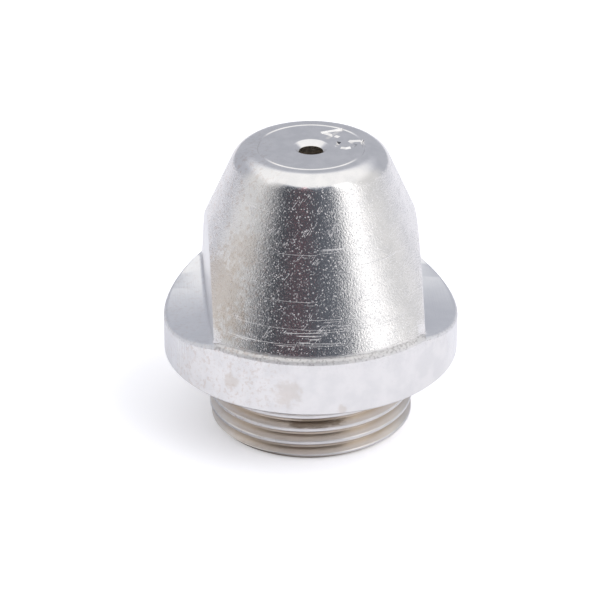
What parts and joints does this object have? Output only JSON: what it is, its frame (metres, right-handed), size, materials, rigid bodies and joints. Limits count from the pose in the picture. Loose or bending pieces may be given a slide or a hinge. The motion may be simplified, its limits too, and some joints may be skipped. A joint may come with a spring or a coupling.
{
  "type": "plasma torch nozzle",
  "caption": "Cone-shaped nozzle with a round flange, two wrench flats, a threaded hollow end and a small central orifice.",
  "frame": {"origin": "centre of the end face of the threaded end, on which the nozzle stands", "axes": "+Z along the axis towards the tip; X square to the two wrench flats"},
  "size_m": [0.02, 0.02, 0.02],
  "materials": {
    "plated_metal": "bright plating over turned copper, lightly worn and stained"
  },
  "bodies": {
    "root": {"nozzle": "plated_metal"}
  },
  "joints": []
}
